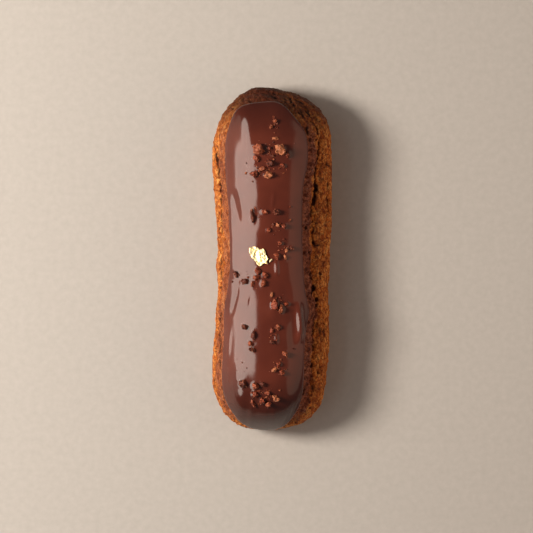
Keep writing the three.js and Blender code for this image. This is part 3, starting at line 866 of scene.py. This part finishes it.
# %% The roasted cocoa finish
def roasted_cocoa():
    material, tree, shader, place = new_material("roasted_cocoa")
    roast = add_node(tree, "Attribute", {}, attribute_name="roast")["Fac"]
    colour = add_node(tree, "ValToRGB", {"Fac": roast},
                      stops=[(0.0, "#351109"), (0.45, "#823820"), (1.0, "#b5734e")])["Color"]
    fleck = add_node(tree, "TexNoise", {"Vector": place, "Scale": scale_of(0.9), "Detail": 4.0,
                                        "Roughness": 0.7})["Fac"]
    pale = add_node(tree, "ValToRGB", {"Fac": fleck}, stops=[(0.54, 0.0), (0.68, 0.75)])["Color"]
    dark = add_node(tree, "ValToRGB", {"Fac": fleck}, stops=[(0.36, 0.9), (0.48, 0.0)])["Color"]
    for amount, layer in ((pale, "#b9795a"), (dark, "#220b05")):
        colour = add_node(tree, "Mix", {"Factor": amount, FIRST: colour, SECOND: layer},
                          data_type="RGBA")[MIXED]
    grooves = add_node(tree, "TexNoise", {"Vector": place, "Scale": scale_of(0.6), "Detail": 4.0,
                                          "Roughness": 0.55, "Distortion": 1.5})["Fac"]
    broken = add_node(tree, "Bump", {"Height": grooves, "Distance": 0.25 * MM, "Strength": 0.9})["Normal"]
    tree.links.new(colour, shader.inputs["Base Color"])
    tree.links.new(broken, shader.inputs["Normal"])
    shader.inputs["Roughness"].default_value = 0.5
    shader.inputs["Specular IOR Level"].default_value = 0.3
    return material


cocoa = roasted_cocoa()
print("nodes in the finish of the nibs:", len(cocoa.node_tree.nodes))
for nib, node in zip(nibs, nib_nodes):
    nib.data.materials.append(cocoa)
    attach(nib, "root")
    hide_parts(node)
nib_crumbs.data.materials.append(cocoa)
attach(nib_crumbs, "root")

# %% [markdown]
# ## The gold leaf
#
# Beaten gold is thinner than hair and crumples as it lands. The plain leaf has the torn outline
# already. A voxel remesh turns it into a fine, even net that is still a closed solid, and two
# Displace modifiers, one coarse and one fine, crumple it.


# %% Crumpling the leaf
LEAF_NET = 0.11
# Two sets of folds: their size in millimetres, and their depth as a share of the whole crumple.
FOLDS = ((2.6, 1.0), (1.1, 0.3))
SHARP_FOLD = math.radians(40)


def crumpled_leaf(node, name, crumple_mm):
    leaf = copy_of_node(node, name)
    add_modifier(leaf, "REMESH", mode="VOXEL", voxel_size=LEAF_NET * MM, use_smooth_shade=True)
    apply_modifiers(leaf)
    for size_mm, share in FOLDS:
        texture = bpy.data.textures.new("leaf_clouds", "CLOUDS")
        texture.noise_scale = size_mm * MM
        add_modifier(leaf, "DISPLACE", texture=texture, texture_coords="LOCAL", mid_level=0.5,
                     direction="Z", strength=share * crumple_mm * MM)
    apply_modifiers(leaf)
    select_only(leaf)
    bpy.ops.object.shade_smooth_by_angle(angle=SHARP_FOLD)
    return leaf


leaf = crumpled_leaf("gold_leaf", "crumpled_gold_leaf", 0.9)
fleck = crumpled_leaf("gold_leaf_fleck", "gold_fleck", 0.3)
report(leaf)
report(fleck)

# %% [markdown]
# ### Beaten gold
#
# Gold is a bare metal: full metallic, with its own warm colour as its reflection. Its fine
# creases are too small for the net of the leaf, so a bump draws them.


# %% The beaten gold finish
def beaten_gold():
    material, tree, shader, place = new_material("beaten_gold")
    tint = add_node(tree, "TexNoise", {"Vector": place, "Scale": scale_of(1.5), "Detail": 3.0,
                                       "Roughness": 0.55})["Fac"]
    colour = add_node(tree, "ValToRGB", {"Fac": tint}, stops=[(0.35, "#f6dc96"), (0.65, "#fff0c4")])
    creases = add_node(tree, "TexNoise", {"Vector": place, "Scale": scale_of(1.2), "Detail": 2.0,
                                          "Roughness": 0.55, "Distortion": 1.0})["Fac"]
    creased = add_node(tree, "Bump", {"Height": creases, "Distance": 0.15 * MM, "Strength": 0.5})
    tree.links.new(colour["Color"], shader.inputs["Base Color"])
    tree.links.new(creased["Normal"], shader.inputs["Normal"])
    shader.inputs["Metallic"].default_value = 1.0
    shader.inputs["Roughness"].default_value = 0.46
    return material


gold = beaten_gold()
print("nodes in the finish of the leaf:", len(gold.node_tree.nodes))
for piece, node in ((leaf, "gold_leaf"), (fleck, "gold_leaf_fleck")):
    piece.data.materials.append(gold)
    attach(piece, "root")
    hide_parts(node)

# %% [markdown]
# ## The table, the light and the camera
#
# The eclair lies on a plain pale table. What the glaze mirrors and what lights the crust are kept
# apart, as with cards and flags in a studio. A long softbox and a weak card on the left are seen
# only as reflections: they draw the broad highlight and the glow along the edge of the glaze. A
# small key lamp and a warm fill light the matt surfaces and are not mirrored. A weak softbox on
# the right does both, and gives the dim second band. The camera looks straight down from far
# away, so that the sides stay narrow.

# %% The table
TABLE_HALF = 2.0
TABLE_Z = -0.0002  # a hair below the eclair, so that the two don't share a plane
bpy.ops.object.select_all(action="DESELECT")
bpy.ops.mesh.primitive_plane_add(size=2 * TABLE_HALF, location=(0, 0, TABLE_Z))
table = bpy.context.object
table.name = "table"


def pale_laminate():
    material, tree, shader, place = new_material("pale_laminate")
    grain = add_node(tree, "TexNoise", {"Vector": place, "Scale": scale_of(2.5), "Detail": 4.0,
                                        "Roughness": 0.55})["Fac"]
    colour = add_node(tree, "ValToRGB", {"Fac": grain}, stops=[(0.3, "#aba9a6"), (0.7, "#b2b0ad")])
    tree.links.new(colour["Color"], shader.inputs["Base Color"])
    shader.inputs["Roughness"].default_value = 0.7
    return material


table.data.materials.append(pale_laminate())
print("table:", 2 * TABLE_HALF, "m across")


# %% Adding a lamp
# A lamp shines at the middle of the eclair, from an azimuth and elevation in degrees and a distance
# in metres. Its size is in metres too.
def add_softbox(name, azimuth, elevation, distance, width, length, watts, colour):
    light = bpy.data.lights.new(name, "AREA")
    light.shape = "ELLIPSE"
    light.size = length
    light.size_y = width
    light.energy = watts
    light.color = linear(colour)[:3]
    lamp = bpy.data.objects.new(name, light)
    bpy.context.scene.collection.objects.link(lamp)
    turned, raised = math.radians(azimuth), math.radians(elevation)
    direction = Vector((math.cos(turned) * math.cos(raised), math.sin(turned) * math.cos(raised),
                        math.sin(raised)))
    side = Vector((-math.sin(turned), math.cos(turned), 0.0))
    lamp.matrix_world = Matrix.Translation(direction * distance) @ Matrix(
        (side, direction.cross(side), direction)).transposed().to_4x4()
    lamp.visible_camera = False
    return lamp


# %% The lamps
# The key lamp stands on the side of the long softbox but is small, so that every grain of crust
# and every nib has a crisp shadow.
left_softbox = add_softbox("left_softbox", 180, 46, 0.62, 0.58, 1.3, 10.8, "#fff3e6")
left_softbox.visible_diffuse = False
left_card = add_softbox("left_card", 180, 13, 0.7, 0.32, 1.2, 0.9, "#ffe6d2")
left_card.visible_diffuse = False
key = add_softbox("key", 172, 44, 0.8, 0.24, 0.24, 9.8, "#fff0e0")
key.visible_glossy = False
add_softbox("right_softbox", 0, 30, 0.7, 0.5, 1.2, 0.86, "#ffe2c6")
warm_fill = add_softbox("warm_fill", -10, 35, 0.8, 0.6, 0.6, 0.8, "#ffb878")
warm_fill.visible_glossy = False
print("lamps:", [light.name for light in bpy.data.lights])

# %% The light of the room
ROOM_LIGHT = 0.12
world = bpy.data.worlds.new("studio")
world.use_nodes = True
world.node_tree.nodes["Background"].inputs["Color"].default_value = (1, 1, 1, 1)
world.node_tree.nodes["Background"].inputs["Strength"].default_value = ROOM_LIGHT
bpy.context.scene.world = world
print("room light:", ROOM_LIGHT)

# %% The camera
# Sizes in metres, but the sensor's width and the focal length are in millimetres.
CAMERA_HEIGHT = 2.5
CAMERA_OVER = (-0.0022, -0.0029)
SEEN_WIDTH = 0.2092
SEEN_AT_Z = 0.011
SENSOR_WIDTH = 36

camera_data = bpy.data.cameras.new("camera")
camera_data.sensor_width = SENSOR_WIDTH
camera_data.lens = SENSOR_WIDTH * (CAMERA_HEIGHT - SEEN_AT_Z) / SEEN_WIDTH
camera = bpy.data.objects.new("camera", camera_data)
bpy.context.scene.collection.objects.link(camera)
camera.location = (*CAMERA_OVER, CAMERA_HEIGHT)
bpy.context.scene.camera = camera
bpy.context.scene.view_settings.view_transform = "Standard"
print("lens", round(camera_data.lens), "mm")
